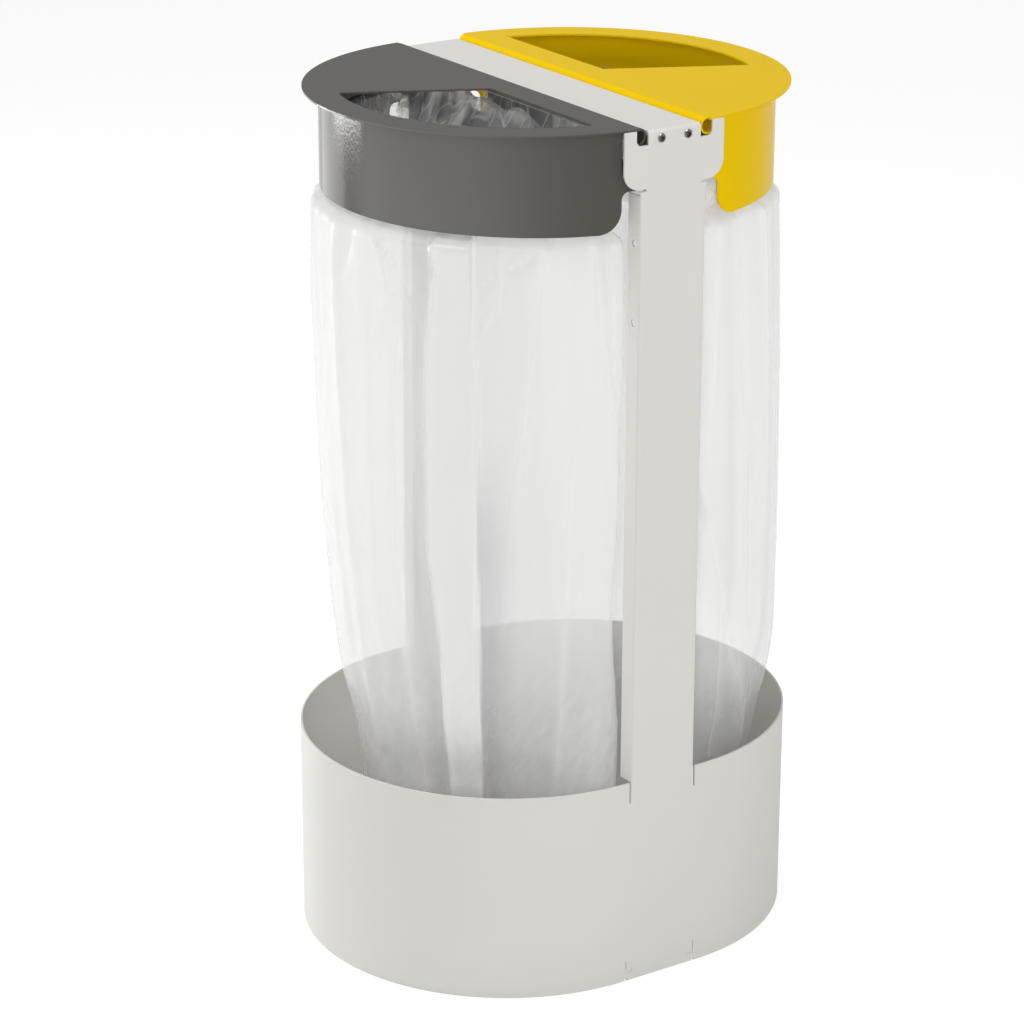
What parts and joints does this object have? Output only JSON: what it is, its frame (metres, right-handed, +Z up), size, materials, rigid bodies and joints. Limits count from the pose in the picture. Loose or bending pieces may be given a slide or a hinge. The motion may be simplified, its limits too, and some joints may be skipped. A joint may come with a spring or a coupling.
{
  "type": "double sack holder",
  "caption": "Floor-standing waste sack holder: a folded steel frame with a round-ended base band carries half-round lids with skirts and drop openings over hanging film sacks.",
  "frame": {"origin": "on the floor under the centre of the base band", "axes": "+Z up; +X along the base towards the lid opposite the grey one; +Y away from the front upright"},
  "size_m": [0.56, 0.4654, 0.955],
  "materials": {
    "frame_paint": "smooth light grey powder coat",
    "grey_paint": "satin mid grey powder coat",
    "yellow_paint": "satin yellow powder coat",
    "dark_paint": "satin blue-black powder coat",
    "steel": "zinc plated",
    "film": "clear thin film"
  },
  "bodies": {
    "stand": {"frame": "frame_paint", "floor_plate": "frame_paint", "front_hinge_plate": "dark_paint", "rear_hinge_plate": "dark_paint", "bridge_screw_front_left": "steel", "bridge_screw_front_right": "steel", "bridge_screw_rear_left": "steel", "bridge_screw_rear_right": "steel", "ring_screw_front_left": "steel", "ring_screw_front_right": "steel", "ring_screw_rear_left": "steel", "ring_screw_rear_right": "steel", "left_sack_ring": "dark_paint", "right_sack_ring": "dark_paint", "left_sack": "film", "right_sack": "film"},
    "left_cover": {"left_lid": "grey_paint"},
    "right_cover": {"right_lid": "yellow_paint"}
  },
  "joints": [
    {"name": "left_lid_hinge", "type": "hinge", "parent": "stand", "child": "left_cover", "pos_m": [-0.043, 0, 0.946], "axis": [0, 1, 0], "range_deg": [0, 95]},
    {"name": "right_lid_hinge", "type": "hinge", "parent": "stand", "child": "right_cover", "pos_m": [0.043, 0, 0.946], "axis": [0, -1, 0], "range_deg": [0, 95]}
  ]
}
